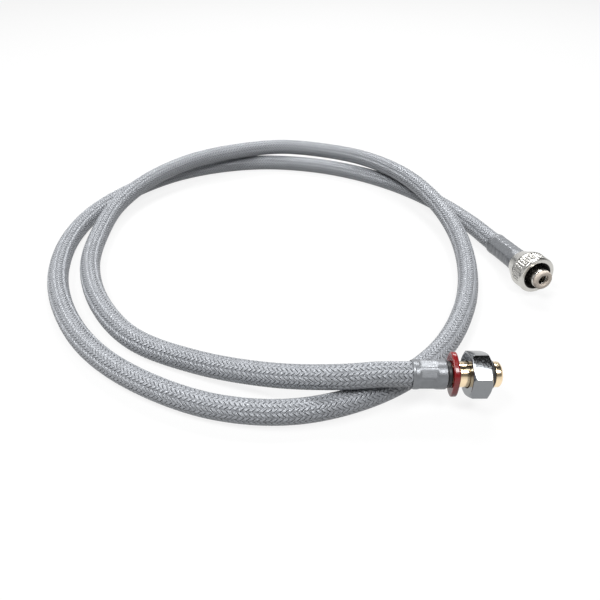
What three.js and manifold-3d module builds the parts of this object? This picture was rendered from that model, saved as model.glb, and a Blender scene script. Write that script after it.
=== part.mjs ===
// A braided flexible water hose with a union nut at each end, lying in two loose turns on a floor.
// Millimetres, +Z up. The origin is on the floor, under the middle of the hose's box.
// End A is the end with the round knurled nut, end B the one with the hexagonal nut and winged ring.
import * as THREE from "three";
import * as BufferGeometryUtils from "three/addons/utils/BufferGeometryUtils.js";
import Module from "manifold-3d";

// Clearances
const RUNNING_GAP = 0.4; // between a turning piece and what it turns on
const SEAT_GAP = 0.35; // between two pieces that sit against each other
const FLOOR_GAP = 0.3; // under the round nut
const LYING_GAP = 0.05; // under the hose where it lies on the floor

// Hose: wire braid over a rubber liner
const HOSE_DIAMETER = 12;
const BRAID_WALL = 0.7;
const LINER_WALL = 1.3;
const LAYER_GAP = 0.35;
const HOSE_SIDES = 12;
const HOSE_STEPS = 110;

// Inserts: a barbed shank in the liner, a neck, a collar that the nut pulls on, and a nose
const SHANK_BORE = 4.4;
const SHANK_A_LENGTH = 22;
const SHANK_B_LENGTH = 12;
const BARB_PITCH = 4;
const BARB_HEIGHT = 0.35;
const NECK_DIAMETER = 9.6;
const COLLAR_DIAMETER = 14;
const COLLAR_LENGTH = 3;
const NOSE_BORE = 6;
const THREAD_GAP = 0.5; // between a collar and the crests of the thread round it

// Crimped ferrules
const FERRULE_WALL = 0.5;
const FERRULE_LIP = 1.2;
const FERRULE_EDGE = 0.4;
const CRIMP_FLATS = 8;
const CRIMP_DEPTH = 0.2;
const CRIMP_MARGIN = 3;

// Union nuts: one thread size at both ends, which follows from the collars
const THREAD_CHAMFER = 0.6;
const NUT_FLANGE = 3;
const EDGE_CHAMFER = 0.8;

// End A
const FERRULE_A_LENGTH = 27;
const NUT_A_DIAMETER = 22.5;
const NUT_A_BACK_DIAMETER = 15.4;
const NUT_A_LENGTH = 18;
const NUT_A_TAPER = 8.5;
const KNURL_COUNT = 40;
const KNURL_DEPTH = 0.35;
const KNURL_DROP = 0.1; // crests of the knurl below the plain rims beside it
const KNURL_MARGIN = 1.2;
const COLLAR_A_TRAVEL = 7; // from the nut's flange to the collar, with the nut pushed back
const NOSE_A_DIAMETER = 11.6;
const NOSE_A_REACH = 4; // nose in front of the nut, without its seal
const SEAL_A_THICKNESS = 2;

// End B
const FERRULE_B_LENGTH = 14;
const END_RING_DIAMETER = 12.4;
const END_RING_THICKNESS = 1.7;
const WING_RING_DIAMETER = 15;
const WING_RING_THICKNESS = 2.7;
const WING_SPAN = 20.6;
const WING_POWER = 6; // power of the cosine that shapes the wings
const WING_TURN = 56; // degrees, of the wings about the hose's axis
const WING_POINTS = 48;
const BODY_B_DIAMETER = 11.8;
const BODY_B_LENGTH = 4.5; // brass seen between the winged ring and the nut
const NUT_B_FLATS = 20;
const NUT_B_LENGTH = 9;
const NUT_B_CHAMFER = 1.2;
const NUT_B_TURN = 30; // degrees, of the first corner about the hose's axis
const COLLAR_B_TRAVEL = 1.6;
const NOSE_B_REACH = 6;
const O_RING_THICKNESS = 1.9;
const O_RING_DEPTH = 0.7; // of the ring's inside below the nose's surface
const O_RING_OFFSET = 1.3; // from the nut's front to the middle of the ring

// Tools that cut a turned piece: how much wider than it they are, and how far past their cut they go
const CUT_REACH = 2;
const CUT_OVERSHOOT = 0.8;

// Facets round the turned pieces, and round the section of the rubber ring
const ROUND_SEGMENTS = 32;
const RING_SEGMENTS = 10;

// Where the cut ends of the hose lie on the floor's plan, and the way out of each. The straight
// stretch behind each end has points at these distances back from the cut.
const END_A = { plan: [140.2, -28.4], yaw: -76, rise: 5, straight: [12, 24, 34] };
const END_B = { plan: [69.2, -136.3], yaw: 1.5, rise: -1.5, straight: [10, 18] };
const END_B_HEIGHT = 17.4; // of the cut, held up by the crossing behind it

// The middle of the hose from end A to end B, placed by eye: one turn on the floor, and a second
// that climbs over it at the right, stays up along the back, lies inside it at the left and
// climbs over it again before end B. A point without a height lies on the floor.
const MIDDLE = [
  [125, 29, 6.3], [108, 63], [83, 94], [51, 119], [15, 135], [-26, 141], [-66, 133], [-100, 114],
  [-128, 82], [-145, 46], [-150, 6], [-143, -37], [-127, -73], [-103, -105], [-72, -129],
  [-32, -146], [6, -148], [45, -134], [75, -109], [96, -74], [108, -35, 6.5], [111, 8, 9.5],
  [103, 47, 14.5], [86, 84, 18.3], [60, 118, 18.2], [30, 141, 16.2], [-10, 148, 17.4],
  [-48, 135, 18.7], [-83, 116, 17.7], [-112, 87, 14.2], [-129, 52, 9.8], [-132, 10, 6.6],
  [-126, -29], [-108, -68], [-82, -98], [-47, -116, 6.5], [-9, -130, 11], [22, -138, 17.3],
  [41, -137.6, 18.5],
];

// Sizes that follow. Distances along an end's axis are from the cut end of the hose, outwards.
const hoseRadius = HOSE_DIAMETER / 2;
const linerRadius = hoseRadius - BRAID_WALL - LAYER_GAP;
const sideShare = Math.cos(Math.PI / HOSE_SIDES); // flats of the faceted hose against its corners
const barbRadius = (linerRadius - LINER_WALL) * sideShare - SEAT_GAP;
const shankRadius = barbRadius - BARB_HEIGHT;
const neckRadius = NECK_DIAMETER / 2;
const collarRadius = COLLAR_DIAMETER / 2;
const threadRadius = collarRadius + THREAD_GAP;
const noseARadius = NOSE_A_DIAMETER / 2;
const bodyBRadius = BODY_B_DIAMETER / 2;
const nutARadius = NUT_A_DIAMETER / 2;
const nutBCorner = NUT_B_FLATS / 2 / Math.cos(Math.PI / 6);
const lipEnd = SEAT_GAP + FERRULE_LIP;
const nutAStart = lipEnd + RUNNING_GAP;
const nutAShoulder = nutAStart + NUT_A_TAPER;
const nutAEnd = nutAStart + NUT_A_LENGTH;
const noseAEnd = nutAEnd + NOSE_A_REACH;
const endRingStart = lipEnd + SEAT_GAP;
const endRingEnd = endRingStart + END_RING_THICKNESS;
const wingRingStart = endRingEnd + RUNNING_GAP;
const wingRingEnd = wingRingStart + WING_RING_THICKNESS;
const bodyBStart = wingRingEnd + RUNNING_GAP;
const nutBStart = bodyBStart + BODY_B_LENGTH;
const nutBEnd = nutBStart + NUT_B_LENGTH;
const noseBEnd = nutBEnd + NOSE_B_REACH;
const oRingMiddle = nutBEnd + O_RING_OFFSET;
const oRingInside = bodyBRadius - O_RING_DEPTH;

const wasm = await Module();
wasm.setup();

const FINISHES = {
  braid: { color: 0x9da1a5, roughness: 0.42, metalness: 0.85 },
  liner: { color: 0x1f2022, roughness: 0.8, metalness: 0 },
  steel: { color: 0xb2b4b4, roughness: 0.35, metalness: 0.9 },
  nickel: { color: 0xc6c7c4, roughness: 0.25, metalness: 0.95 },
  brass: { color: 0xd2a56a, roughness: 0.25, metalness: 0.95 },
  ivory: { color: 0xe6dccf, roughness: 0.5, metalness: 0 },
  black: { color: 0x141414, roughness: 0.65, metalness: 0 },
  red: { color: 0xb3201a, roughness: 0.35, metalness: 0 },
};

function piece(name, geometry, finish) {
  const mesh = new THREE.Mesh(geometry, new THREE.MeshStandardMaterial(FINISHES[finish]));
  mesh.name = name;
  return mesh;
}

// Shapes along Z

// A turned piece from [radius, height] points: up the outside, down the inside, closed.
function turned(profile, segments = ROUND_SEGMENTS) {
  const points = [...profile, profile[0]].map(([radius, height]) => new THREE.Vector2(radius, height));
  return new THREE.LatheGeometry(points, segments).rotateX(Math.PI / 2);
}

function prism(outline, from, to) {
  const settings = { depth: to - from, bevelEnabled: false };
  return new THREE.ExtrudeGeometry(outline, settings).translate(0, 0, from);
}

// A closed outline from its radius at each angle, with evenly spaced points.
function polarOutline(count, radiusAt, turn = 0) {
  const points = Array.from({ length: count }, (unused, index) => {
    const angle = (index * 2 * Math.PI) / count;
    const radius = radiusAt(angle, index);
    return new THREE.Vector2(radius * Math.cos(angle + turn), radius * Math.sin(angle + turn));
  });
  return new THREE.Shape(points);
}

function polygon(radius, sides, turn = 0) {
  return polarOutline(sides, () => radius, turn);
}

function ring(outer, inner, sides) {
  const outline = polygon(outer, sides);
  outline.holes.push(polygon(inner, sides));
  return outline;
}

// Cutting

function solid(geometry) {
  const plain = geometry.clone();
  plain.deleteAttribute("normal");
  plain.deleteAttribute("uv");
  const merged = BufferGeometryUtils.mergeVertices(plain);
  return new wasm.Manifold(new wasm.Mesh({
    numProp: 3,
    vertProperties: new Float32Array(merged.attributes.position.array),
    triVerts: new Uint32Array(merged.index.array),
  }));
}

function geometryOf(manifold) {
  const mesh = manifold.getMesh();
  const geometry = new THREE.BufferGeometry();
  geometry.setAttribute("position", new THREE.BufferAttribute(mesh.vertProperties, 3));
  geometry.setIndex(new THREE.BufferAttribute(mesh.triVerts, 1));
  geometry.computeVertexNormals();
  return geometry;
}

// Takes off a turned piece all that lies outside an outline, between two heights.
function trimmed(body, outline, reach, from, to) {
  const around = solid(prism(polygon(CUT_REACH * reach, ROUND_SEGMENTS), from, to));
  const kept = solid(prism(outline, from - CUT_OVERSHOOT, to + CUT_OVERSHOOT));
  return geometryOf(solid(body).subtract(around.subtract(kept)));
}

// The way of the hose

function wayOut(end) {
  const yaw = THREE.MathUtils.degToRad(end.yaw);
  const rise = THREE.MathUtils.degToRad(end.rise);
  return new THREE.Vector3(Math.cos(rise) * Math.cos(yaw), Math.cos(rise) * Math.sin(yaw), Math.sin(rise));
}

// The cut at end A stands at the height where the shoulder of its nut just clears the floor.
function heightOfCutA() {
  const rise = THREE.MathUtils.degToRad(END_A.rise);
  return FLOOR_GAP + nutARadius * Math.cos(rise) - nutAShoulder * Math.sin(rise);
}

const cutA = new THREE.Vector3(...END_A.plan, heightOfCutA());
const cutB = new THREE.Vector3(...END_B.plan, END_B_HEIGHT);

function straightStretch(end, cut) {
  return [0, ...end.straight].map((back) => cut.clone().addScaledVector(wayOut(end), -back));
}

function hosePath() {
  const lying = hoseRadius + LYING_GAP;
  const middle = MIDDLE.map(([x, y, height = lying]) => new THREE.Vector3(x, y, height));
  const points = [...straightStretch(END_A, cutA), ...middle, ...straightStretch(END_B, cutB).reverse()];
  const path = new THREE.CatmullRomCurve3(points, false, "centripetal");
  path.arcLengthDivisions = 40 * points.length;
  return path;
}

function hoseLayer(path, outer, wall) {
  const settings = { steps: HOSE_STEPS, extrudePath: path, bevelEnabled: false };
  return new THREE.ExtrudeGeometry(ring(outer, outer - wall, HOSE_SIDES), settings);
}

// Ferrules: a sleeve over the hose with flats pressed in, closed in front to a lip round the neck.
function ferrule(length) {
  const inner = hoseRadius + SEAT_GAP;
  const outer = inner + FERRULE_WALL;
  const lipHole = neckRadius + RUNNING_GAP;
  const sleeve = turned([
    [outer - FERRULE_EDGE, -length],
    [outer, FERRULE_EDGE - length],
    [outer, lipEnd - EDGE_CHAMFER],
    [outer - EDGE_CHAMFER, lipEnd],
    [lipHole, lipEnd],
    [lipHole, SEAT_GAP],
    [inner, SEAT_GAP],
    [inner, -length],
  ]);
  const corners = (outer - CRIMP_DEPTH) / Math.cos(Math.PI / CRIMP_FLATS);
  return trimmed(sleeve, polygon(corners, CRIMP_FLATS), outer, CRIMP_MARGIN - length, -CRIMP_MARGIN);
}

// Inserts

// The outside of a shank from its tip up to the neck: saw teeth whose steps face the neck.
function shank(length) {
  const count = Math.floor(length / BARB_PITCH);
  const teeth = Array.from({ length: count }, (unused, index) => {
    const height = index * BARB_PITCH - length;
    return [[shankRadius, height], [barbRadius, height + BARB_PITCH - BARB_HEIGHT]];
  });
  return [...teeth.flat(), [shankRadius, (count * BARB_PITCH) - length], [shankRadius, SEAT_GAP]];
}

// The bore from the nose back to the shank's tip, narrowing behind the collar.
function bore(front, narrowing, length) {
  const wide = NOSE_BORE / 2;
  const narrow = SHANK_BORE / 2;
  return [[wide, front], [wide, narrowing], [narrow, narrowing - wide + narrow], [narrow, -length]];
}

function nippleA() {
  const collarStart = nutAStart + NUT_FLANGE + COLLAR_A_TRAVEL;
  const collarEnd = collarStart + COLLAR_LENGTH;
  return turned([
    ...shank(SHANK_A_LENGTH),
    [neckRadius, SEAT_GAP],
    [neckRadius, collarStart],
    [collarRadius, collarStart],
    [collarRadius, collarEnd],
    [noseARadius, collarEnd],
    [noseARadius, noseAEnd],
    ...bore(noseAEnd, collarStart, SHANK_A_LENGTH),
  ]);
}

function sealWasherA() {
  const from = noseAEnd + SEAT_GAP;
  const to = from + SEAL_A_THICKNESS;
  return turned([
    [noseARadius, from],
    [noseARadius, to - EDGE_CHAMFER],
    [noseARadius - EDGE_CHAMFER, to],
    [NOSE_BORE / 2, to],
    [NOSE_BORE / 2, from],
  ]);
}

// The brass insert of end B: its body runs on through the nut and ends in a grooved nose.
function stemB() {
  const collarStart = nutBStart + NUT_FLANGE + COLLAR_B_TRAVEL;
  const collarEnd = collarStart + COLLAR_LENGTH;
  const grooveHalf = O_RING_THICKNESS / 2 + SEAT_GAP;
  const grooveRadius = oRingInside - SEAT_GAP;
  return turned([
    ...shank(SHANK_B_LENGTH),
    [neckRadius, SEAT_GAP],
    [neckRadius, bodyBStart],
    [bodyBRadius, bodyBStart],
    [bodyBRadius, collarStart],
    [collarRadius, collarStart],
    [collarRadius, collarEnd],
    [bodyBRadius, collarEnd],
    [bodyBRadius, oRingMiddle - grooveHalf],
    [grooveRadius, oRingMiddle - grooveHalf],
    [grooveRadius, oRingMiddle + grooveHalf],
    [bodyBRadius, oRingMiddle + grooveHalf],
    [bodyBRadius, noseBEnd - EDGE_CHAMFER],
    [bodyBRadius - EDGE_CHAMFER, noseBEnd],
    ...bore(noseBEnd, collarStart, SHANK_B_LENGTH),
  ]);
}

function oRingB() {
  const tube = O_RING_THICKNESS / 2;
  return new THREE.TorusGeometry(oRingInside + tube, tube, RING_SEGMENTS, ROUND_SEGMENTS)
    .translate(0, 0, oRingMiddle);
}

// Rings between the ferrule of end B and its brass body

function endRingB() {
  const hole = neckRadius + SEAT_GAP;
  return prism(ring(END_RING_DIAMETER / 2, hole, ROUND_SEGMENTS), endRingStart, endRingEnd);
}

function wingRingB() {
  const round = WING_RING_DIAMETER / 2;
  const wing = WING_SPAN / 2 - round;
  const outline = polarOutline(
    WING_POINTS,
    (angle) => round + wing * Math.cos(angle) ** WING_POWER,
    THREE.MathUtils.degToRad(WING_TURN),
  );
  outline.holes.push(polygon(neckRadius + RUNNING_GAP, ROUND_SEGMENTS));
  return prism(outline, wingRingStart, wingRingEnd);
}

// Union nuts

// The inside of a nut from its front to its back: thread bore, then the hole in the flange.
function nutInside(start, end, hole) {
  return [
    [threadRadius + THREAD_CHAMFER, end],
    [threadRadius, end - THREAD_CHAMFER],
    [threadRadius, start + NUT_FLANGE],
    [hole, start + NUT_FLANGE],
    [hole, start],
  ];
}

function nutA() {
  const body = turned([
    [NUT_A_BACK_DIAMETER / 2, nutAStart],
    [nutARadius, nutAShoulder],
    [nutARadius, nutAEnd - EDGE_CHAMFER],
    [nutARadius - EDGE_CHAMFER, nutAEnd],
    ...nutInside(nutAStart, nutAEnd, neckRadius + RUNNING_GAP),
  ], KNURL_COUNT);
  const crest = nutARadius - KNURL_DROP;
  const knurl = polarOutline(2 * KNURL_COUNT, (angle, index) => crest - (index % 2) * KNURL_DEPTH);
  const from = nutAShoulder + KNURL_MARGIN;
  return trimmed(body, knurl, nutARadius, from, nutAEnd - EDGE_CHAMFER - KNURL_MARGIN);
}

function nutB() {
  const flats = NUT_B_FLATS / 2;
  const outside = nutBCorner + EDGE_CHAMFER;
  const body = turned([
    [flats, nutBStart],
    [outside, nutBStart + NUT_B_CHAMFER],
    [outside, nutBEnd - NUT_B_CHAMFER],
    [flats, nutBEnd],
    ...nutInside(nutBStart, nutBEnd, bodyBRadius + RUNNING_GAP),
  ]);
  const hexagon = polygon(nutBCorner, 6, THREE.MathUtils.degToRad(NUT_B_TURN));
  return trimmed(body, hexagon, outside, nutBStart - EDGE_CHAMFER, nutBEnd + EDGE_CHAMFER);
}

// Assemblies

// A group whose +Z is the way out of an end and whose +Y leans up, at the cut end of the hose.
function atEnd(end, cut, meshes) {
  const out = wayOut(end);
  const left = new THREE.Vector3(-out.y, out.x, 0).normalize();
  const up = new THREE.Vector3().crossVectors(out, left);
  const group = new THREE.Group();
  group.quaternion.setFromRotationMatrix(new THREE.Matrix4().makeBasis(left, up, out));
  group.position.copy(cut);
  group.add(...meshes);
  return group;
}

function hose() {
  const path = hosePath();
  const group = new THREE.Group();
  group.add(
    piece("hose_braid", hoseLayer(path, hoseRadius, BRAID_WALL), "braid"),
    piece("hose_liner", hoseLayer(path, linerRadius, LINER_WALL), "liner"),
  );
  return group;
}

const model = new THREE.Group();
model.add(
  hose(),
  atEnd(END_A, cutA, [
    piece("ferrule_a", ferrule(FERRULE_A_LENGTH), "steel"),
    piece("nipple_a", nippleA(), "nickel"),
    piece("union_nut_a", nutA(), "nickel"),
    piece("seal_washer_a", sealWasherA(), "ivory"),
  ]),
  atEnd(END_B, cutB, [
    piece("ferrule_b", ferrule(FERRULE_B_LENGTH), "steel"),
    piece("end_ring_b", endRingB(), "black"),
    piece("wing_ring_b", wingRingB(), "red"),
    piece("stem_b", stemB(), "brass"),
    piece("union_nut_b", nutB(), "nickel"),
    piece("o_ring_b", oRingB(), "black"),
  ]),
);

export default model;
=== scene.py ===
"""Looks for a braided flexible water hose that lies in two loose turns, with a union nut at each end.

Lengths are millimetres in the part's frame until a mesh is made, which is in metres.
End A is the end with the round knurled nut, end B the one with the hexagonal nut and the red winged ring.
"""

import sys
import logging
import math
from dataclasses import dataclass, field
from enum import Enum
from typing import Any, Callable

import bmesh
import bpy
import numpy as np
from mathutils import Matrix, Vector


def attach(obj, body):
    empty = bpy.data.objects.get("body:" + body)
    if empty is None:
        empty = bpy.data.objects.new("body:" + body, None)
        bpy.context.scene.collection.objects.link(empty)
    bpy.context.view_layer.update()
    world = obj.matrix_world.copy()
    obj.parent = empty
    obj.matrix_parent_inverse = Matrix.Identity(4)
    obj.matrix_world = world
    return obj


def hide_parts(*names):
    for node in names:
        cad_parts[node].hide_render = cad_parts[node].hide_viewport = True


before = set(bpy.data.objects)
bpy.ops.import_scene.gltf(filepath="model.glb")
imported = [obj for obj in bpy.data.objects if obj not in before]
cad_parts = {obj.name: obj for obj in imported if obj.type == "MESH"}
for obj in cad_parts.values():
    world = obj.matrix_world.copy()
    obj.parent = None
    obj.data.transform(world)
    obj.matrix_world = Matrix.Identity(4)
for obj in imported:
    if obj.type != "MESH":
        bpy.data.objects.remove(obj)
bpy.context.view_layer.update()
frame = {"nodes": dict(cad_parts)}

log = logging.getLogger("hose")
Array, Piece = np.ndarray, bpy.types.Object
Pair, Triple = tuple[float, float], tuple[float, float, float]
MM = 0.001
TURN = 2 * math.pi
RINGS = 560  # sections of the rubber hose


# Shader expressions


class Value:
    """A socket in an expression. Its operators add Math nodes to the socket's tree."""

    def __init__(self, graph: "Graph", socket: bpy.types.NodeSocket) -> None:
        """Keeps the tree and the socket."""
        self.graph, self.socket = graph, socket

    def __add__(self, other: Any) -> "Value":
        """Sum."""
        return self.graph.math("ADD", self, other)

    def __sub__(self, other: Any) -> "Value":
        """Difference."""
        return self.graph.math("SUBTRACT", self, other)

    def __rsub__(self, other: Any) -> "Value":
        """Difference from a number, as in 1 - mask."""
        return self.graph.math("SUBTRACT", other, self)

    def __mul__(self, other: Any) -> "Value":
        """Product."""
        return self.graph.math("MULTIPLY", self, other)

    __radd__, __rmul__ = __add__, __mul__

    def sine(self) -> "Value":
        """Sine of an angle in radians."""
        return self.graph.math("SINE", self)

    def size(self) -> "Value":
        """Value without its sign."""
        return self.graph.math("ABSOLUTE", self)

    def ramp(self, low: float, high: float) -> "Value":
        """From 0 at low to 1 at high, clamped, with soft ends."""
        settings = {"interpolation_type": "SMOOTHSTEP"}
        return self.graph.node("ShaderNodeMapRange", settings, {0: self, 1: low, 2: high})


class Graph:
    """A node tree that expressions are written into."""

    def __init__(self, owner: bpy.types.Material | bpy.types.World) -> None:
        """Turns the owner's nodes on, and empties and keeps its tree."""
        owner.use_nodes = True
        self.tree = owner.node_tree
        self.tree.nodes.clear()

    def node(self, kind: str, settings: dict | None = None, sockets: dict | None = None,
             out: int | str = 0) -> Value:
        """Adds any node: its settings first, then the values or links of its sockets.

        Args:
            kind: The node's type.
            settings: Properties of the node; "stops" are a ramp's positions and colours.
            sockets: Inputs by name or number, each a Value or a constant.
            out: The output to hand on.

        Returns:
            That output.
        """
        made = self.tree.nodes.new(kind)
        for key, value in (settings or {}).items():
            if key == "stops":
                self._fill(made.color_ramp, value)
            else:
                setattr(made, key, value)
        for key, value in (sockets or {}).items():
            if isinstance(value, Value):
                self.tree.links.new(value.socket, made.inputs[key])
            else:
                made.inputs[key].default_value = value
        return Value(self, made.outputs[out]) if made.outputs else Value(self, None)

    @staticmethod
    def _fill(ramp: bpy.types.ColorRamp, stops: list) -> None:
        """Sets a ramp's stops.

        Args:
            ramp: The ramp, which has two stops when new.
            stops: Pairs of a position and a colour.
        """
        while len(ramp.elements) < len(stops):
            ramp.elements.new(1.0)
        for element, (place, colour) in zip(ramp.elements, stops):
            element.position, element.color = place, (*colour, 1.0)

    def math(self, operation: str, *values: Any) -> Value:
        """A Math node on one, two or three values."""
        return self.node("ShaderNodeMath", {"operation": operation}, dict(enumerate(values)))

    def mix(self, share: Any, first: Any, second: Any) -> Value:
        """A mix of two colours, by the share of the second from 0 to 1."""
        whole = [c if isinstance(c, Value) else (*c, 1.0) for c in (first, second)]
        return self.node("ShaderNodeMix", {"data_type": "RGBA"}, {0: share, 6: whole[0], 7: whole[1]}, 2)

    def scale(self, colour: Any, by: Any) -> Value:
        """A colour made darker or lighter by a number."""
        start = colour if isinstance(colour, Value) else tuple(colour)
        return self.node("ShaderNodeVectorMath", {"operation": "SCALE"}, {0: start, "Scale": by})

    def parts(self, vector: Value) -> tuple[Value, Value, Value]:
        """The three numbers of a vector."""
        made = self.node("ShaderNodeSeparateXYZ", None, {0: vector}).socket.node
        return tuple(Value(self, made.outputs[k]) for k in range(3))

    def join(self, x: Any, y: Any, z: Any) -> Value:
        """A vector from three numbers."""
        return self.node("ShaderNodeCombineXYZ", None, {0: x, 1: y, 2: z})

    def attribute(self, name: str) -> Value:
        """A vector that a mesh holds for each of its points."""
        return self.node("ShaderNodeAttribute", {"attribute_name": name}, out="Vector")

    def noise(self, at: Value, scale: float, detail: float = 2.0, rough: float = 0.5) -> Value:
        """Smooth random values from 0 to 1 at points in space, with finer layers as rough as is asked."""
        return self.node("ShaderNodeTexNoise", None,
                         {"Vector": at, "Scale": scale, "Detail": detail, "Roughness": rough})

    def bump(self, height: Value, depth_mm: float, strength: float = 1.0) -> Value:
        """A normal from a height of 0 to 1, where 1 stands for the depth."""
        return self.node("ShaderNodeBump", None,
                         {"Strength": strength, "Distance": depth_mm * MM, "Height": height})


# Finishes


@dataclass(frozen=True)
class Finish:
    """A surface finish, with the numbers that all finishes share.

    Attributes:
        colour: Linear base colour.
        roughness: Mean roughness.
        metallic: 1 for bare metal.
        specular: Specular level of what isn't metal.
    """

    colour: Triple = (0.5, 0.5, 0.5)
    roughness: float = 0.4
    metallic: float = 0.0
    specular: float = 0.5

    def dress(self, graph: Graph) -> dict[str, Value]:
        """Links for the shader's sockets, by name."""
        raise NotImplementedError

    def material(self, name: str) -> bpy.types.Material:
        """Builds the material.

        Args:
            name: Its name.

        Returns:
            The material.
        """
        made = bpy.data.materials.new(name)
        graph = Graph(made)
        fixed = {"Metallic": self.metallic, "Specular IOR Level": self.specular}
        shader = graph.node("ShaderNodeBsdfPrincipled", None, fixed | self.dress(graph))
        graph.node("ShaderNodeOutputMaterial", None, {"Surface": shader})
        return made


@dataclass(frozen=True)
class BraidSteel(Finish):
    """Bright stainless wires laid side by side in flat strands.

    The mesh's "weave" holds the place across a strand (-1 to 1), the place along it (mm) and its number.

    Attributes:
        edge_shade_colour: Near-black colour mixed into the edges of each strand, painted shade for the
            cavities between the strands.
        edge_shade_start: Where the painted shade begins, as a share of half a strand.
        wires: Wires in a strand.
        wire_depth: Depth between the wires in mm.
    """

    edge_shade_colour: Triple = (0.03, 0.03, 0.033)
    edge_shade_start: float = 0.7
    wires: int = 7
    wire_depth: float = 0.05

    def dress(self, graph: Graph) -> dict[str, Value]:
        """Wires as waves across a strand with painted shade in the grooves between them, painted shade along
        its edges, and strands that differ a little.

        Args:
            graph: The material's tree.

        Returns:
            Sockets by name.
        """
        across, along, number = graph.parts(graph.attribute("weave"))
        wire = (across * (math.pi * self.wires / 2)).sine().size()
        edge = across.size().ramp(self.edge_shade_start, 1.0)
        own = graph.noise(graph.join(number * 7.3, along * 0.02, 0.0), 1.0, 1.0)
        glint = graph.noise(graph.join(across * self.wires, along * 0.6, number * 3.1), 1.3, 2.0)
        spots = graph.noise(graph.node("ShaderNodeTexCoord", out="Object"), 90.0, 3.0)
        # The colour falls by up to 18% between the wires: painted shade in the grooves.
        bright = (0.72 + own * 0.3 + glint * 0.34) * (0.82 + wire * 0.18) - spots.ramp(0.55, 0.8) * 0.12
        steel = graph.scale(self.colour, bright)
        return {
            # The strands' edges are mixed towards the near-black colour: painted shade for the cavities
            # between strands.
            "Base Color": graph.mix(edge * 0.85, steel, self.edge_shade_colour),
            "Roughness": self.roughness + (glint - 0.5) * 0.3 + edge * 0.2,
            "Normal": graph.bump(wire, self.wire_depth, 0.6),
        }


@dataclass(frozen=True)
class Turned(Finish):
    """Metal turned on a lathe, with tool marks round its axis and handling marks over them, and painted
    shade down a nut's threaded bore.

    The mesh's "local" holds the place in the end's own frame (mm), whose Z is the axis.

    Attributes:
        marks: Strength of the tool marks.
        cloud: How much the colour and gloss vary.
        pitting: Strength of the fine grain.
        worn: Colour of the handled places.
        bore_shade: Painted shade in a nut's thread, a near-black and rougher band for the dark of the deep
            bore: the radii between which it ends, and where it starts.
        grain_depth: Depth of the marks and the grain in mm.
    """

    marks: float = 0.5
    cloud: float = 0.15
    pitting: float = 0.3
    worn: Triple = (0.5, 0.5, 0.5)
    bore_shade: Triple | None = None
    grain_depth: float = 0.02

    def dress(self, graph: Graph) -> dict[str, Value]:
        """Tool marks run along the axis and the radius, so that they close round the piece.

        Args:
            graph: The material's tree.

        Returns:
            Sockets by name.
        """
        local = graph.attribute("local")
        x, y, z = graph.parts(local)
        flat = graph.join(x, y, 0.0)
        radius = graph.node("ShaderNodeVectorMath", {"operation": "LENGTH"}, {0: flat}, "Value")
        marks = graph.node("ShaderNodeTexNoise", {"noise_dimensions": "1D"},
                           {"W": z + radius * 1.37, "Scale": 4.0, "Detail": 3.0})
        cloud = graph.noise(local, 0.35, 4.0, 0.6)
        grain = graph.noise(local, 5.0, 3.0, 0.7)
        shade = 1.0 - (cloud - 0.5) * self.cloud - grain.ramp(0.62, 0.78) * 0.1
        colour = graph.mix(cloud.ramp(0.5, 0.8) * 0.35, graph.scale(self.colour, shade), self.worn)
        roughness = self.roughness + (cloud - 0.5) * (0.8 * self.cloud) + (marks - 0.5) * 0.12
        if self.bore_shade:
            low, high, start = self.bore_shade
            painted_bore_shade = (1 - radius.ramp(low, high)) * z.ramp(start, start + 0.3)
            # Painted shade: the colour goes nearly black down the threaded bore, where the deep hole lies in
            # shade.
            colour = graph.mix(painted_bore_shade * (0.86 + cloud * 0.2), colour, (0.012, 0.011, 0.01))
            roughness = roughness + painted_bore_shade * 0.4
        return {
            "Base Color": colour,
            "Roughness": roughness,
            "Normal": graph.bump(marks * self.marks + grain * self.pitting, self.grain_depth, 0.7),
        }


@dataclass(frozen=True)
class Moulded(Finish):
    """Plastic or rubber from a mould, with a fine skin and dust in its dull places.

    Attributes:
        dust: Colour of the dull places.
        skin: Depth of the skin's grain in mm.
        coat: Gloss of the outer skin.
    """

    dust: Triple = (0.3, 0.3, 0.3)
    skin: float = 0.03
    coat: float = 0.0

    def dress(self, graph: Graph) -> dict[str, Value]:
        """Two sizes of grain: clouds of dust, and a fine skin that breaks the gloss.

        Args:
            graph: The material's tree.

        Returns:
            Sockets by name.
        """
        local = graph.attribute("local")
        cloud = graph.noise(local, 0.5, 3.0, 0.6)
        skin = graph.noise(local, 4.0, 2.0)
        tone = graph.scale(self.colour, 0.86 + cloud * 0.28)
        return {
            "Base Color": graph.mix(cloud.ramp(0.55, 0.85) * 0.3, tone, self.dust),
            "Roughness": self.roughness + (skin - 0.5) * 0.16 + cloud.ramp(0.5, 0.8) * 0.1,
            "Coat Weight": self.coat,
            "Normal": graph.bump(skin, self.skin, 0.5),
        }


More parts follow.
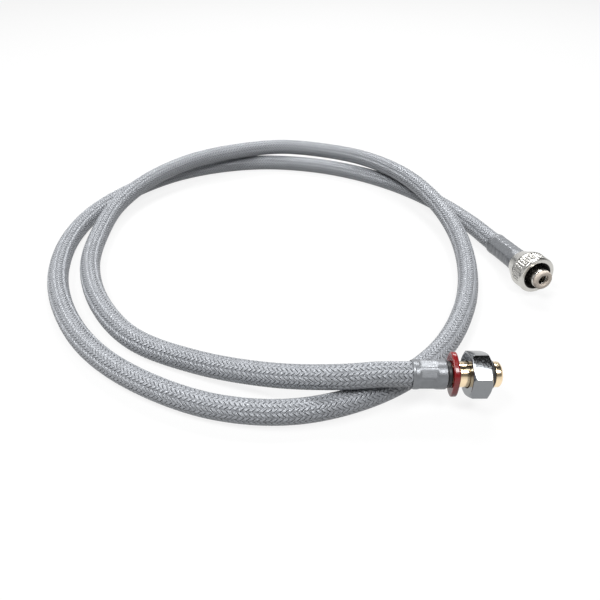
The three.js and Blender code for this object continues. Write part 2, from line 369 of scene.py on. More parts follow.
class Look(Enum):
    """The finishes of the hose's pieces, each with the record's slot that it stands for."""

    BRAID = ("steel_braid", BraidSteel((0.355, 0.37, 0.395), 0.36, 0.22))
    LINER = ("hose_rubber", Moulded((0.018, 0.018, 0.02), 0.7, 0.0, 0.3, (0.06, 0.06, 0.06)))
    FERRULE = ("ferrule_steel", Turned((0.24, 0.25, 0.265), 0.39, 0.5, 0.5, 0.5, 0.3, 0.5,
                                       (0.21, 0.21, 0.22)))
    # The last three numbers of the two nut finishes below place the painted shade in the threaded bore.
    NICKEL = ("nickel_plate", Turned((0.58, 0.57, 0.54), 0.27, 1.0, 0.5, 0.35, 0.2, 0.25, (0.46, 0.45, 0.42),
                                     (8.4, 8.7, 4.9)))
    # A darker, glossier copy of the nickel plate for the hexagonal nut: painted shade, so that its flats
    # come out dark.
    SHADED_HEX_NICKEL = ("nickel_plate", Turned((0.24, 0.25, 0.26), 0.09, 1.0, 0.5, 0.3, 0.1, 0.2,
                                         (0.21, 0.22, 0.23), (8.4, 8.7, 14.55)))
    BRIGHT = ("nickel_plate", Turned((0.7, 0.68, 0.64), 0.2, 1.0, 0.5, 0.35, 0.2, 0.25, (0.55, 0.53, 0.5)))
    BRASS = ("bare_brass", Turned((0.92, 0.74, 0.5), 0.18, 1.0, 0.5, 0.4, 0.2, 0.25, (0.8, 0.6, 0.38)))
    IVORY = ("ivory_seal", Moulded((0.7, 0.62, 0.54), 0.5, 0.0, 0.4, (0.56, 0.47, 0.4), 0.04))
    BLACK = ("black_seal", Moulded((0.012, 0.012, 0.013), 0.42, 0.0, 0.5, (0.06, 0.06, 0.06), 0.02))
    RED = ("red_plastic", Moulded((0.22, 0.004, 0.006), 0.26, 0.0, 0.5, (0.22, 0.015, 0.012), 0.02, 0.4))

    @property
    def slot(self) -> str:
        """The record's material slot."""
        return self.value[0]

    def material(self) -> bpy.types.Material:
        """The material, made once."""
        name = self.name.lower()
        return bpy.data.materials.get(name) or self.value[1].material(name)


# Meshes


def grid_faces(patches: int, rows: int, columns: int, closed_rows: bool, closed_columns: bool) -> Array:
    """Quads of one or more grids: point (r, c) joins (r + 1, c), (r + 1, c + 1) and (r, c + 1).

    Args:
        patches: Separate grids of the same size.
        rows: Points along the first direction.
        columns: Points along the second direction.
        closed_rows: Whether the last row joins the first.
        closed_columns: Whether the last column joins the first.

    Returns:
        Corner numbers, four a face.
    """
    r = np.arange(rows if closed_rows else rows - 1)[:, None]
    c = np.arange(columns if closed_columns else columns - 1)[None]
    after_r, after_c = (r + 1) % rows, (c + 1) % columns
    corners = np.stack(np.broadcast_arrays(
        r * columns + c, after_r * columns + c, after_r * columns + after_c, r * columns + after_c), -1)
    return (np.arange(patches)[:, None, None] * rows * columns + corners.reshape(1, -1, 4)).reshape(-1, 4)


def make_piece(name: str, points: Array, faces: Array, vectors: dict[str, Array], look: Look,
               body: str, *nodes: str, merge: bool = False) -> Piece:
    """Puts whole arrays into a mesh in metres, which rides a body in the place of CAD nodes.

    Args:
        name: The piece's name.
        points: Corners in millimetres.
        faces: Corner numbers, four a face.
        vectors: Vectors kept for each point, by name.
        look: The finish.
        body: The body that carries it.
        nodes: The CAD nodes that it stands for.
        merge: Whether points at one place become one, as at a pole.

    Returns:
        The object, at the origin.
    """
    mesh = bpy.data.meshes.new(name)
    mesh.vertices.add(len(points))
    mesh.vertices.foreach_set("co", (points * MM).astype(np.float32).ravel())
    mesh.loops.add(faces.size)
    mesh.loops.foreach_set("vertex_index", faces.astype(np.int32).ravel())
    mesh.polygons.add(len(faces))
    mesh.polygons.foreach_set("loop_start", np.arange(0, faces.size, 4, dtype=np.int32))
    mesh.update(calc_edges=True)
    for key, value in vectors.items():
        kept = mesh.attributes.new(key, "FLOAT_VECTOR", "POINT")
        kept.data.foreach_set("vector", value.astype(np.float32).ravel())
    if merge:
        work = bmesh.new()
        work.from_mesh(mesh)
        bmesh.ops.remove_doubles(work, verts=work.verts, dist=1e-7)
        work.to_mesh(mesh)
        work.free()
    mesh.polygons.foreach_set("use_smooth", np.ones(len(mesh.polygons), dtype=bool))
    mesh.set_sharp_from_angle(angle=math.radians(50))
    mesh.materials.append(look.material())
    piece = bpy.data.objects.new(name, mesh)
    bpy.context.scene.collection.objects.link(piece)
    log.info("%s: %d faces", name, len(mesh.polygons))
    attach(piece, body)
    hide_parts(*nodes)
    return piece


def smoothstep(value: Array, low: float, high: float) -> Array:
    """From 0 at low to 1 at high: 3 t^2 - 2 t^3 on the clamped share t of the way."""
    share = np.clip((value - low) / (high - low), 0.0, 1.0)
    return share * share * (3 - 2 * share)


def soft_min(first: Array, second: Array, blend: float) -> Array:
    """The lesser of two, with a rounded change: half of (a + b - sqrt((a - b)^2 + blend^2))."""
    return (first + second - np.sqrt((first - second) ** 2 + blend ** 2)) / 2


def rounded(profile: list, radius: float = 0.3, steps: int = 4) -> Array:
    """A closed profile with round corners.

    Each corner becomes the curve (1-t)^2 a + 2 t (1-t) c + t^2 b, from a before the corner c to b after it,
    each at the radius or at 0.45 of the side, whichever is less.

    Args:
        profile: Points of radius and height.
        radius: Size of the corners.
        steps: Points in each corner.

    Returns:
        The new points.
    """
    corner = np.array(profile, float)
    before, after = np.roll(corner, 1, 0) - corner, np.roll(corner, -1, 0) - corner
    size = [np.linalg.norm(side, axis=1, keepdims=True) for side in (before, after)]
    start, end = (corner + side / long * np.minimum(radius, 0.45 * long)
                  for side, long in zip((before, after), size))
    t = np.linspace(0, 1, steps)[None, :, None]
    curve = (1 - t) ** 2 * start[:, None] + 2 * t * (1 - t) * corner[:, None] + t ** 2 * end[:, None]
    return curve.reshape(-1, 2)


def refined(profile: Array, step: float) -> Array:
    """A closed profile with no side longer than a step, keeping its points.

    Args:
        profile: Points of radius and height.
        step: Longest side.

    Returns:
        The new points.
    """
    closed = np.vstack([profile, profile[:1]])
    sides = np.linalg.norm(np.diff(closed, axis=0), axis=1)
    counts = np.maximum(1, np.ceil(sides / step)).astype(int)
    at = np.repeat(np.arange(len(sides)), counts)
    share = (np.arange(counts.sum()) - np.repeat(np.cumsum(counts) - counts, counts)) / counts[at]
    return closed[at] + share[:, None] * (closed[at + 1] - closed[at])


@dataclass(frozen=True)
class EndFrame:
    """Where one end of the hose lies: +Z is the way out, and distances are from the hose's cut.

    Attributes:
        cut: The middle of the cut end of the hose.
        yaw: Heading of the way out on the plan, in degrees.
        rise: Its slope, in degrees.
    """

    cut: Triple
    yaw: float
    rise: float

    @property
    def out(self) -> Array:
        """The way out."""
        yaw, rise = math.radians(self.yaw), math.radians(self.rise)
        return np.array([math.cos(rise) * math.cos(yaw), math.cos(rise) * math.sin(yaw), math.sin(rise)])

    def behind(self, distance: float) -> Array:
        """A point on the axis, behind the cut."""
        return np.array(self.cut) - distance * self.out

    def world(self, local: Array) -> Array:
        """Points of the end's frame in the part's frame.

        Args:
            local: Places along left, up and out.

        Returns:
            Places in the part's frame.
        """
        out = self.out
        left = np.array([-out[1], out[0], 0.0]) / math.hypot(out[0], out[1])
        return np.array(self.cut) + local @ np.stack([left, np.cross(out, left), out])


# Gives a turned piece's new radii from its angles, its plain radii and its distances from the hose's cut
Shape = Callable[[Array, Array, Array], Array]


def turned(name: str, end: EndFrame, profile: Array, look: Look, body: str, node: str,
           segments: int = 96, shape: Shape | None = None, turn: float = 0.0) -> Piece:
    """A piece turned about an end's axis: x = r cos a, y = r sin a, z from the profile.

    Args:
        name: The piece's name.
        end: The end that it belongs to.
        profile: A closed profile, up the outside and down the inside.
        look: The finish.
        body: The body that carries it.
        node: The CAD node that it stands for.
        segments: Points round.
        shape: Gives the new radii.
        turn: Angle of the first point, in degrees.

    Returns:
        The piece.
    """
    angle = (math.radians(turn) + np.arange(segments) * TURN / segments)[:, None]
    radius, height = (np.broadcast_to(profile[:, k], (segments, len(profile))) for k in (0, 1))
    if shape:
        radius = shape(angle + 0 * radius, radius, height)
    local = np.stack([radius * np.cos(angle), radius * np.sin(angle), height], -1).reshape(-1, 3)
    faces = grid_faces(1, segments, len(profile), True, True)
    return make_piece(name, end.world(local), faces, {"local": local}, look, body, node)


# Sub-assemblies

SEAT = 0.35  # from the hose's cut to what it butts against
FRAME_A = EndFrame((140.2, -28.4, 10.5964), -76, 5)
FRAME_B = EndFrame((69.2, -136.3, 17.4), 1.5, -1.5)


@dataclass
class Route:
    """The way of the hose, as in the part's source: listed points on one smooth curve."""

    lying: float = 6.05
    behind_a: tuple[float, ...] = (0, 12, 24, 34)
    behind_b: tuple[float, ...] = (18, 10, 0)
    middle: tuple = (
        (125, 29, 6.3), (108, 63), (83, 94), (51, 119), (15, 135), (-26, 141), (-66, 133), (-100, 114),
        (-128, 82), (-145, 46), (-150, 6), (-143, -37), (-127, -73), (-103, -105), (-72, -129),
        (-32, -146), (6, -148), (45, -134), (75, -109), (96, -74), (108, -35, 6.5), (111, 8, 9.5),
        (103, 47, 14.5), (86, 84, 18.3), (60, 118, 18.2), (30, 141, 16.2), (-10, 148, 17.4),
        (-48, 135, 18.7), (-83, 116, 17.7), (-112, 87, 14.2), (-129, 52, 9.8), (-132, 10, 6.6),
        (-126, -29), (-108, -68), (-82, -98), (-47, -116, 6.5), (-9, -130, 11), (22, -138, 17.3),
        (41, -137.6, 18.5),
    )
    fine: Array = field(init=False)
    stations: Array = field(init=False)

    def __post_init__(self) -> None:
        """Works out the curve and the distance of its points along it."""
        middle = [(*point, self.lying)[:3] for point in self.middle]
        points = np.array([FRAME_A.behind(d) for d in self.behind_a] + middle
                          + [FRAME_B.behind(d) for d in self.behind_b], float)
        self.fine = self._curve(points, 60)
        self.stations = np.r_[0, np.cumsum(np.linalg.norm(np.diff(self.fine, axis=0), axis=1))]

    @staticmethod
    def _curve(points: Array, steps: int) -> Array:
        """A centripetal curve through the points.

        Between p1 and p2 it is the cubic with the end slopes t1 and t2. A slope is the sum of the
        slopes of the sides beside its point, less that of the line across them, times the knot
        distance of the side between p1 and p2. A knot distance is the root of a side's length.

        Args:
            points: The points.
            steps: Points on each side.

        Returns:
            The points of the curve.
        """
        whole = np.vstack([2 * points[0] - points[1], points, 2 * points[-1] - points[-2]])
        a, b, c, d = whole[:-3], whole[1:-2], whole[2:-1], whole[3:]
        knots = [np.linalg.norm(q - p, axis=1)[:, None] ** 0.5 for p, q in ((a, b), (b, c), (c, d))]
        k0, k1, k2 = knots
        t1 = ((b - a) / k0 - (c - a) / (k0 + k1) + (c - b) / k1) * k1
        t2 = ((c - b) / k1 - (d - b) / (k1 + k2) + (d - c) / k2) * k1
        t = np.linspace(0, 1, steps, endpoint=False)[None, :, None]
        b, c, t1, t2 = (value[:, None] for value in (b, c, t1, t2))
        curve = ((2 * t ** 3 - 3 * t ** 2 + 1) * b + (t ** 3 - 2 * t ** 2 + t) * t1
                 + (3 * t ** 2 - 2 * t ** 3) * c + (t ** 3 - t ** 2) * t2)
        return np.vstack([curve.reshape(-1, 3), points[-1:]])

    @property
    def length(self) -> float:
        """Length of the curve."""
        return float(self.stations[-1])

    def at(self, station: Array) -> Array:
        """Points at distances along the curve."""
        return np.stack([np.interp(station, self.stations, self.fine[:, k]) for k in range(3)], -1)

    def around(self, station: Array, angle: Array, radius: Array) -> Array:
        """Points round the curve: centre + radius (side cos a + up sin a).

        The side is level and square to the way, and up is square to both.

        Args:
            station: Distances along the curve.
            angle: Angles from the side towards up.
            radius: Distances from the curve.

        Returns:
            The points.
        """
        way = self.at(station + 0.8) - self.at(station - 0.8)
        way /= np.linalg.norm(way, axis=-1, keepdims=True)
        side = np.stack([way[..., 1], -way[..., 0], 0 * way[..., 0]], -1)
        side /= np.linalg.norm(side, axis=-1, keepdims=True)
        up = np.cross(side, way)
        reach = side * np.cos(angle)[..., None] + up * np.sin(angle)[..., None]
        return self.at(station) + radius[..., None] * reach


class Hand(Enum):
    """Which way the strands of one layer wind."""

    RIGHT = 1
    LEFT = -1


@dataclass
class BraidedHose:
    """The rubber hose and the wire braid woven over it.

    Attributes:
        route: The way of the hose.
        strands: Strands wound each way.
        lead: How far along the hose a strand goes once round it.
        middle: Radius about which the strands weave.
        swing: How far a strand rises and dips.
        snap: How suddenly it does.
        width: Width of a strand.
        across: Points across a strand, from -1 to 1.
        crown: Height of each of them.
        samples: Points of a strand for each turn.
        core: Radius of the rubber hose.
        bore: Radius of its bore.
        sockets: Depths of the bore that the inserts fill, at ends A and B.
        hidden: Stretches without braid inside the ferrules, at ends A and B.
        sides: Points round the rubber hose.
    """

    route: Route
    strands: int = 16
    lead: float = 38.0
    middle: float = 5.62
    swing: float = 0.2
    snap: float = 1.5
    width: float = 1.58
    across: tuple[float, ...] = (-1.0, -0.62, 0.62, 1.0)
    crown: tuple[float, ...] = (-0.2, 0.13, 0.13, -0.2)
    samples: int = 44
    core: float = 5.3
    bore: float = 3.6
    sockets: Pair = (26.0, 16.0)
    hidden: Pair = (6.0, 4.0)
    sides: int = 24

    def rubber(self) -> Piece:
        """The rubber hose: rings along the route, with a blind bore at each end for the shanks.

        Returns:
            The piece.
        """
        length = self.route.length
        outside = np.linspace(0, length, RINGS)
        deep_a, deep_b = self.sockets[0], length - self.sockets[1]
        station = np.r_[deep_a, deep_a, 0, outside, length, deep_b, deep_b][:, None]
        radius = np.r_[0, self.bore, self.bore, np.full(RINGS, self.core), self.bore, self.bore, 0][:, None]
        angle = (np.arange(self.sides) * TURN / self.sides)[None]
        station, radius, angle = np.broadcast_arrays(station, radius, angle)
        points = self.route.around(station, angle, radius).reshape(-1, 3)
        flat = np.stack([radius * np.cos(angle), radius * np.sin(angle), station], -1).reshape(-1, 3)
        faces = grid_faces(1, len(station), self.sides, False, True)
        return make_piece("hose_core", points, faces, {"local": flat}, Look.LINER, "hose",
                          "hose_liner", "hose_braid", merge=True)

    def layer(self, hand: Hand) -> Piece:
        """The strands that wind one way.

        Along a strand the angle grows by a turn for each lead, and across it the points move square to it
        on the hose's unrolled surface. The two layers weave over two and under two: one rises where the
        other dips, by the softened cosine of half as many waves round the hose as there are strands.

        Args:
            hand: Which way they wind.

        Returns:
            The piece.
        """
        turns = (self.route.length - sum(self.hidden)) / self.lead
        along = np.linspace(self.hidden[0], self.route.length - self.hidden[1], int(turns * self.samples))
        number = np.arange(self.strands)[:, None, None]
        across, crown = (np.array(values)[None, None] for values in (self.across, self.crown))
        slope = math.atan2(TURN * self.middle, self.lead)
        half = across * self.width / 2
        way = hand.value
        station = along[None, :, None] - way * half * math.sin(slope)
        angle = (TURN * (number / self.strands + way * along[None, :, None] / self.lead)
                 + half * math.cos(slope) / self.middle)
        wave = np.cos(self.strands / 2 * angle - math.pi / 4)
        radius = self.middle + way * self.swing * np.tanh(self.snap * wave) / math.tanh(self.snap) + crown
        station, angle, radius = np.broadcast_arrays(station, angle, radius)
        points = self.route.around(station, angle, radius).reshape(-1, 3)
        weave = np.stack(np.broadcast_arrays(across, along[None, :, None], number + 0.5 * way), -1)
        faces = grid_faces(self.strands, len(along), len(self.across), False, False)
        return make_piece(f"braid_{hand.name.lower()}", points, faces, {"weave": weave.reshape(-1, 3)},
                          Look.BRAID, "hose", "hose_braid")

    def build(self) -> list[Piece]:
        """The hose, then its two layers of strands."""
        return [self.rubber(), *(self.layer(hand) for hand in Hand)]


@dataclass(frozen=True)
class Ferrule:
    """A thin sleeve crimped over the hose.

    Attributes:
        length: Behind the hose's cut.
        outer: Radius of the sleeve.
        inner: Radius of its inside.
        tail: Radius of the rolled tail.
        front: Front of the lip.
        hole: Radius of the lip's hole.
        jaws: Flats that the crimping jaws leave.
        bite: Their depth.
        margin: Plain stretch at each end.
        ridge: Height of the ridges between the jaws.
        ridge_spread: Half of a ridge's width, as an angle.
        grooves: Rings pressed round its middle.
        groove_pitch: Distance between them.
        groove_depth: Their depth.
        groove_spread: Half of their width.
    """

    length: float
    outer: float = 6.85
    inner: float = 6.35
    tail: float = 6.12
    front: float = 1.55
    hole: float = 5.2
    jaws: int = 8
    bite: float = 0.3
    margin: float = 2.6
    ridge: float = 0.1
    ridge_spread: float = 0.05
    grooves: int = 0
    groove_pitch: float = 4.2
    groove_depth: float = 0.17
    groove_spread: float = 0.7

    def shape(self, angle: Array, radius: Array, height: Array) -> Array:
        """Flats between ridges: the lesser of the radius and flat / cos(angle from the flat's middle).

        Each ring takes off its depth times exp(-(distance from its middle / spread)^2).

        Args:
            angle: Angles round the axis.
            radius: Radii of the plain sleeve.
            height: Distances from the cut.

        Returns:
            The new radii.
        """
        part = TURN / self.jaws
        off = (angle + part / 2) % part - part / 2
        flat = soft_min(radius, (self.outer - self.bite) / np.cos(off), 0.08)
        flat = flat + self.ridge * np.exp(-((np.abs(off) - part / 2) / self.ridge_spread) ** 2)
        pressed = smoothstep(height, self.margin - self.length, self.margin + 1.2 - self.length)
        pressed = pressed * (1 - smoothstep(height, -self.margin - 1.0, -self.margin))
        pressed = pressed * smoothstep(radius, self.inner + 0.1, self.outer - 0.1)
        first = (self.front - self.length) / 2 - (self.grooves - 1) / 2 * self.groove_pitch
        rings = sum(np.exp(-((height - first - k * self.groove_pitch) / self.groove_spread) ** 2)
                    for k in range(self.grooves))
        return radius + pressed * (flat - radius - self.groove_depth * rings)

    def build(self, name: str, end: EndFrame) -> Piece:
        """Builds the sleeve.

        Args:
            name: The CAD node that it replaces.
            end: The end that it belongs to.

        Returns:
            The piece.
        """
        profile = rounded([
            (self.tail + 0.25, -self.length), (self.outer, 1.0 - self.length), (self.outer, self.front),
            (self.hole, self.front), (self.hole, SEAT), (self.inner, SEAT),
            (self.inner, 1.2 - self.length), (self.tail, -self.length),
        ], 0.45)
        return turned(name + "_sleeve", end, refined(profile, 0.4), Look.FERRULE, "hose", name, 192,
                      self.shape)


@dataclass(frozen=True)
class End:
    """What both ends share: a threaded nut, and an insert with a barbed shank, a neck and a collar.

    Attributes:
        frame: Where the end lies.
        nut_start: Back of the nut.
        nut_length: Length of the nut.
        hole: Radius of the hole in the nut's flange.
        teeth: Barbs on the insert's shank.
        shank: Length of the shank.
        collar_start: Back of the collar under the nut's flange.
        nose_length: From the nut's front to the nose's.
        flange: Thickness of the nut's flange.
        bore: Radius of the thread's crests.
        pitch: Advance of the thread in a turn.
        depth: Depth of the thread.
        barbs: Radii between and on the barbs.
        barb_pitch: Distance between them.
        barb_slope: Length of their slopes.
        neck: Radius of the neck.
        collar: Radius of the collar.
        collar_length: Length of the collar.
        bores: Radii of the insert's bore in the shank and in the nose.
    """

    frame: EndFrame
    nut_start: float
    nut_length: float
    hole: float
    teeth: int
    shank: float
    collar_start: float
    nose_length: float
    flange: float = 3.0
    bore: float = 7.5
    pitch: float = 1.337
    depth: float = 0.75
    barbs: Pair = (2.77, 3.12)
    barb_pitch: float = 4.0
    barb_slope: float = 3.65
    neck: float = 4.8
    collar: float = 7.0
    collar_length: float = 3.0
    bores: Pair = (2.2, 3.0)

    @property
    def nut_end(self) -> float:
        """Front of the nut."""
        return self.nut_start + self.nut_length

    @property
    def front(self) -> float:
        """Front of the nose."""
        return self.nut_end + self.nose_length

    @property
    def collar_end(self) -> float:
        """Front of the collar."""
        return self.collar_start + self.collar_length

    def nut_inside(self) -> list:
        """The nut's profile from its front edge, down the bore and through the flange."""
        inside, end = self.nut_start + self.flange, self.nut_end
        return [(self.bore + 0.7, end), (self.bore, end - 0.7), (self.bore, inside), (self.hole, inside),
                (self.hole, self.nut_start)]

    def threaded(self, angle: Array, radius: Array, height: Array) -> Array:
        """A rounded V: depth times (1 + cos of (height / pitch - angle / turn)) / 2, fading at its ends.

        Args:
            angle: Angles round the axis.
            radius: Radii of the plain nut.
            height: Distances from the cut.

        Returns:
            The new radii.
        """
        start, end = self.nut_start + self.flange, self.nut_end - 0.4
        wave = 0.5 + 0.5 * np.cos(TURN * height / self.pitch - angle)
        inside = smoothstep(height, start, start + 1.0) * (1 - smoothstep(height, end - 0.8, end))
        return radius + (np.abs(radius - self.bore) < 0.02) * inside * self.depth * wave

    def insert_profile(self, before: list, after: list) -> Array:
        """The insert's closed profile.

        Args:
            before: Points between the neck's back and the collar.
            after: Points between the collar and the nose's face.

        Returns:
            Points of radius and height.
        """
        root, tip = self.barbs
        places = [self.barb_pitch * k - self.shank for k in range(self.teeth + 1)]
        shank = [point for z in places[:-1] for point in ((root, z), (tip, z + self.barb_slope))]
        narrow, wide = self.bores
        return refined(rounded([
            *shank, (root, places[-1]), (root, SEAT), (self.neck, SEAT), *before,
            (self.collar, self.collar_start), (self.collar, self.collar_end), *after,
            (wide, self.front), (wide, self.collar_start), (narrow, self.collar_start - 0.8),
            (narrow, -self.shank),
        ]), 0.8)


@dataclass(frozen=True)
class EndA(End):
    """End A: ferrule, insert with its ivory seal, and the round knurled union nut."""

    frame: EndFrame = FRAME_A
    nut_start: float = 1.95
    nut_length: float = 18.0
    hole: float = 5.2
    teeth: int = 5
    shank: float = 22.0
    collar_start: float = 11.95
    nose_length: float = 4.0
    nose: float = 5.8
    shoulder: float = 8.5
    nut_radius: float = 11.25
    back_radius: float = 7.7
    knurls: int = 40
    knurl_depth: float = 0.4

    def knurled(self, angle: Array, radius: Array, height: Array) -> Array:
        """The outside less depth (1 - cos(knurls x angle)) / 2 in the knurled band, and the thread inside.

        Args:
            angle: Angles round the axis.
            radius: Radii of the plain nut.
            height: Distances from the cut.

        Returns:
            The new radii.
        """
        low, high = self.nut_start + self.shoulder + 1.2, self.nut_end - 2.0
        band = smoothstep(height, low, low + 0.5) * (1 - smoothstep(height, high - 0.5, high))
        band = band * (radius > self.nut_radius - 0.05)
        groove = 0.1 + self.knurl_depth * (0.5 - 0.5 * np.cos(self.knurls * angle)) ** 0.8
        return self.threaded(angle, radius, height) - band * groove

    def nut(self) -> Piece:
        """The union nut."""
        start, end, wide = self.nut_start, self.nut_end, self.nut_radius
        profile = rounded([(self.back_radius, start), (wide, start + self.shoulder), (wide, end - 0.8),
                           (wide - 0.8, end), *self.nut_inside()], 0.5)
        return turned("round_nut_a", self.frame, refined(profile, 0.24), Look.NICKEL, "nut_a",
                      "union_nut_a", 320, self.knurled)

    def insert(self) -> Piece:
        """The insert, with a plain nose."""
        profile = self.insert_profile([(self.neck, self.collar_start)],
                                      [(self.nose, self.collar_end), (self.nose, self.front)])
        return turned("insert_a", self.frame, profile, Look.BRIGHT, "hose", "nipple_a", 72)

    def seal(self) -> Piece:
        """The ivory ring on the nose, with a soft crown on its face."""
        start, hole = self.front + SEAT, self.bores[1]
        profile = rounded([
            (self.nose, start), (self.nose, start + 1.3), (5.2, start + 1.95), (4.4, start + 2.0),
            (3.4, start + 1.95), (hole, start + 1.6), (hole, start)], 0.35)
        return turned("seal_ring_a", self.frame, refined(profile, 0.5), Look.IVORY, "hose",
                      "seal_washer_a", 72)

    def build(self) -> list[Piece]:
        """All of end A's pieces."""
        ferrule = Ferrule(27.0, grooves=4).build("ferrule_a", self.frame)
        return [ferrule, self.insert(), self.seal(), self.nut()]


@dataclass(frozen=True)
class EndB(End):
    """End B: ferrule, dark ring, red winged ring, brass insert, hexagonal union nut and rubber ring."""

    frame: EndFrame = FRAME_B
    nut_start: float = 11.6
    nut_length: float = 9.0
    hole: float = 6.3
    teeth: int = 3
    shank: float = 12.0
    collar_start: float = 16.2
    nose_length: float = 6.0
    body: float = 5.9
    body_start: float = 7.1
    groove: float = 4.85
    flats: float = 10.0
    chamfer: float = 1.2
    crown: float = 0.16
    turn: float = 30.0
    wing_start: float = 4.0
    wing_thickness: float = 2.7
    wing_hole: float = 5.2
    wing_round: float = 7.5
    wing_reach: float = 2.8
    wing_turn: float = 56.0
    ring_place: float = 1.3
    ring_radius: float = 0.95
    ring_middle: float = 6.15

    def hexagon(self, angle: Array, radius: Array, height: Array) -> Array:
        """The lesser of the turned radius and flats / cos(angle from a flat's middle), with round corners.

        A flat falls off by its crown times (angle / half of the flat)^2, as polishing leaves it.

        Args:
            angle: Angles round the axis.
            radius: Radii of the turned blank.
            height: Distances from the cut.

        Returns:
            The new radii.
        """
        sixth = TURN / 6
        off = (angle - math.radians(self.turn)) % sixth - sixth / 2
        flat = self.flats - self.crown * (2 * off / sixth) ** 2
        trimmed = soft_min(radius, flat / np.cos(off), 0.16)
        rim = self.flats - 1.0  # what is further out is the outside
        cut = radius + smoothstep(radius, rim, rim + 0.6) * (trimmed - radius)
        return np.where(radius > rim, cut, self.threaded(angle, radius, height))

    def nut(self) -> Piece:
        """The hexagonal nut: a turned blank with chamfered faces, cut to six flats."""
        corner = self.flats / math.cos(math.pi / 6) + 0.05
        start, end, face = self.nut_start, self.nut_end, self.flats - 0.3
        profile = rounded([(face, start), (corner, start + self.chamfer), (corner, end - self.chamfer),
                           (face, end), *self.nut_inside()])
        return turned("hex_nut_b", self.frame, refined(profile, 0.22), Look.SHADED_HEX_NICKEL, "nut_b",
                      "union_nut_b", 288, self.hexagon, self.turn)

    def insert(self) -> Piece:
        """The brass insert, with a thicker body and a grooved nose."""
        body, end, groove_end = self.body, self.nut_end, self.nut_end + 2 * self.ring_place
        profile = self.insert_profile(
            [(self.neck, self.body_start), (body, self.body_start), (body, self.collar_start)],
            [(body, self.collar_end), (body, end), (self.groove, end), (self.groove, groove_end),
             (body, groove_end), (body, self.front - 0.8), (body - 0.8, self.front)])
        return turned("insert_b", self.frame, profile, Look.BRASS, "hose", "stem_b")

    def end_ring(self) -> Piece:
        """The thin dark ring against the ferrule."""
        profile = rounded([(6.2, 1.9), (6.2, 3.6), (5.15, 3.6), (5.15, 1.9)], 0.35, 6)
        return turned("dark_ring_b", self.frame, profile, Look.BLACK, "hose", "end_ring_b")

    def winged(self, angle: Array, radius: Array, height: Array) -> Array:
        """Stretches the ring outwards by reach cos(angle from the wings)^6."""
        share = (radius - self.wing_hole) / (self.wing_round - self.wing_hole)
        return radius + share * self.wing_reach * np.cos(angle - math.radians(self.wing_turn)) ** 6

    def wing_ring(self) -> Piece:
        """The red ring with two wings to turn it by."""
        start, end = self.wing_start, self.wing_start + self.wing_thickness
        wide, hole = self.wing_round, self.wing_hole
        profile = rounded([(wide, start), (wide, end), (hole, end), (hole, start)], 0.6, 7)
        return turned("winged_ring_b", self.frame, refined(profile, 0.4), Look.RED, "wings",
                      "wing_ring_b", 144, self.winged)

    def rubber_ring(self) -> Piece:
        """The sealing ring: a round section about a point at its middle radius from the axis."""
        t = np.arange(20) * TURN / 20
        section = np.stack([np.cos(t), np.sin(t)], -1)
        profile = self.ring_radius * section + (self.ring_middle, self.nut_end + self.ring_place)
        return turned("seal_ring_b", self.frame, profile, Look.BLACK, "hose", "o_ring_b")

    def build(self) -> list[Piece]:
        """All of end B's pieces."""
        return [Ferrule(14.0).build("ferrule_b", self.frame), self.end_ring(), self.wing_ring(),
                self.insert(), self.nut(), self.rubber_ring()]


# Studio


@dataclass(frozen=True)
class Lamp:
    """A soft lamp: where it stands, where it points, its size in metres and its power in watts."""

    name: str
    stands: Triple
    points_at: Triple
    size: Pair
    power: float

    def build(self) -> None:
        """Adds the lamp."""
        data = bpy.data.lights.new(self.name, "AREA")
        data.shape, data.size, data.size_y, data.energy = "RECTANGLE", *self.size, self.power
        lamp = bpy.data.objects.new(self.name, data)
        lamp.location = self.stands
        way = Vector(self.points_at) - Vector(self.stands)
        lamp.rotation_euler = way.to_track_quat("-Z", "Y").to_euler()
        bpy.context.scene.collection.objects.link(lamp)


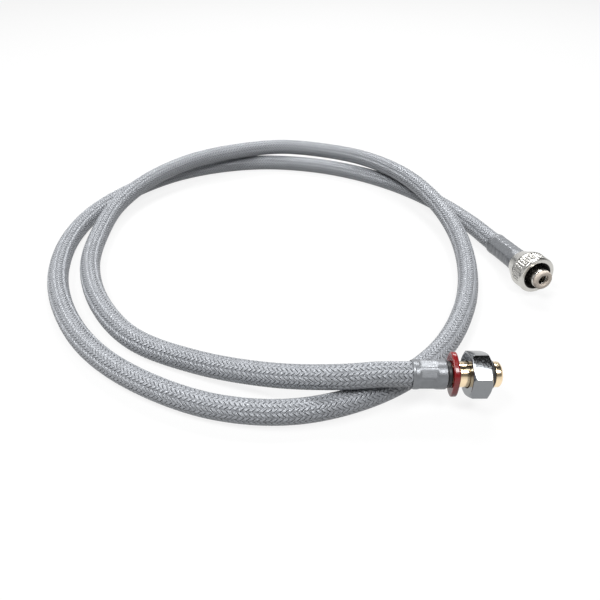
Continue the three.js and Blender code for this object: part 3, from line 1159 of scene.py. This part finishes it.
@dataclass(frozen=True)
class Studio:
    """The pale floor, the soft light and the camera of the photograph.

    Attributes:
        eye: Where the camera stands, in metres.
        down: How far down it looks, in degrees.
        focal_px: Its focal length, in pixels.
        frame_px: Width of the picture.
        floor_reach: Half of the floor's side.
        floor_greys: The floor's grey as a light, and as it is seen.
        floor_lift: Share of plain white in the floor as it is seen.
        ambient: Share of the walls' light that falls on the part.
        lamps: The lamps.
    """

    eye: Triple = (0.005, -0.320, 0.1926)
    down: float = 36.0
    focal_px: float = 553.0
    frame_px: float = 600.0
    floor_reach: float = 4.0
    floor_greys: Pair = (0.12, 0.8)
    floor_lift: float = 0.85
    ambient: float = 0.16
    lamps: tuple[Lamp, ...] = (
        Lamp("left", (-0.55, -0.25, 1.05), (0, 0.05, 0), (0.5, 0.4), 10.5),
        Lamp("right", (0.44, -0.58, 1.1), (0.05, -0.1, 0), (0.36, 0.36), 8.0),
        Lamp("back", (0.1, 0.78, 1.02), (0, 0, 0), (0.9, 0.25), 12.5),
    )

    def camera(self) -> None:
        """Looks along +Y and down, with no roll."""
        data = bpy.data.cameras.new("camera")
        data.sensor_width, data.lens = 36.0, 36.0 * self.focal_px / self.frame_px
        data.clip_start, data.clip_end = 0.01, 20.0
        camera = bpy.data.objects.new("camera", data)
        camera.location = self.eye
        camera.rotation_euler = (math.radians(90 - self.down), 0, 0)
        bpy.context.scene.collection.objects.link(camera)
        bpy.context.scene.camera = camera

    @staticmethod
    def seen_directly(graph: Graph) -> Value:
        """1 for camera, glossy and transmission rays, and 0 for the light on the object."""
        rays = graph.node("ShaderNodeLightPath").socket.node.outputs
        names = ("Is Camera Ray", "Is Glossy Ray", "Is Transmission Ray")
        camera, glossy, through = (Value(graph, rays[name]) for name in names)
        return graph.math("MAXIMUM", graph.math("MAXIMUM", camera, glossy), through)

    def floor(self) -> None:
        """A wide pale floor, lifted to white where it is seen, so that shadows stay; a duller light."""
        reach = self.floor_reach
        line = np.linspace(-reach, reach, 9)
        x, y = np.meshgrid(line, line, indexing="ij")
        mesh = bpy.data.meshes.new("floor")
        mesh.from_pydata(np.stack([x, y, 0 * x], -1).reshape(-1, 3).tolist(), [],
                         grid_faces(1, len(line), len(line), False, False).tolist())
        floor = bpy.data.objects.new("floor", mesh)
        bpy.context.scene.collection.objects.link(floor)
        made = bpy.data.materials.new("pale_floor")
        graph = Graph(made)
        spot = graph.noise(graph.node("ShaderNodeTexCoord", out="Object"), 3.0)
        seen = self.seen_directly(graph)
        tones = (graph.scale((grey, grey, grey), 0.95 + spot * 0.1) for grey in self.floor_greys)
        colour = graph.mix(seen, *tones)
        paint = graph.node("ShaderNodeBsdfPrincipled", None,
                           {"Base Color": colour, "Roughness": 0.9, "Specular IOR Level": 0.1})
        white = graph.node("ShaderNodeEmission", None, {"Color": (1, 1, 1, 1), "Strength": 1.0})
        both = graph.node("ShaderNodeMixShader", None, {0: seen * self.floor_lift, 1: paint, 2: white})
        graph.node("ShaderNodeOutputMaterial", None, {"Surface": both})
        mesh.materials.append(made)

    def world(self) -> None:
        """A pale wall all round, under a dark ceiling, and less light from both than they show."""
        world = bpy.data.worlds.new("studio")
        graph = Graph(world)
        height = graph.parts(graph.node("ShaderNodeTexCoord", out="Generated"))[2]
        greys = ((0.0, 0.88), (0.24, 0.86), (0.4, 0.25), (0.65, 0.1), (0.9, 0.012))
        stops = [(place, (grey, grey, grey * 1.01)) for place, grey in greys]
        colour = graph.node("ShaderNodeValToRGB", {"stops": stops}, {0: height})
        strength = self.ambient + self.seen_directly(graph) * (1 - self.ambient)
        sky = graph.node("ShaderNodeBackground", None, {"Color": colour, "Strength": strength})
        graph.node("ShaderNodeOutputWorld", None, {"Surface": sky})
        bpy.context.scene.world = world

    def build(self) -> None:
        """Camera, floor, world and lamps."""
        self.camera()
        self.floor()
        self.world()
        for lamp in self.lamps:
            lamp.build()
        bpy.context.scene.view_settings.view_transform = "Standard"


def main() -> None:
    logging.basicConfig(level=logging.INFO, format="%(message)s", stream=sys.stdout)
    Studio().build()
    route = Route()
    core, *braid = BraidedHose(route).build()
    EndA().build()
    end_b = EndB().build()
    log.info("hose: %.1f mm long", route.length)


if __name__ == "__main__":
    main()
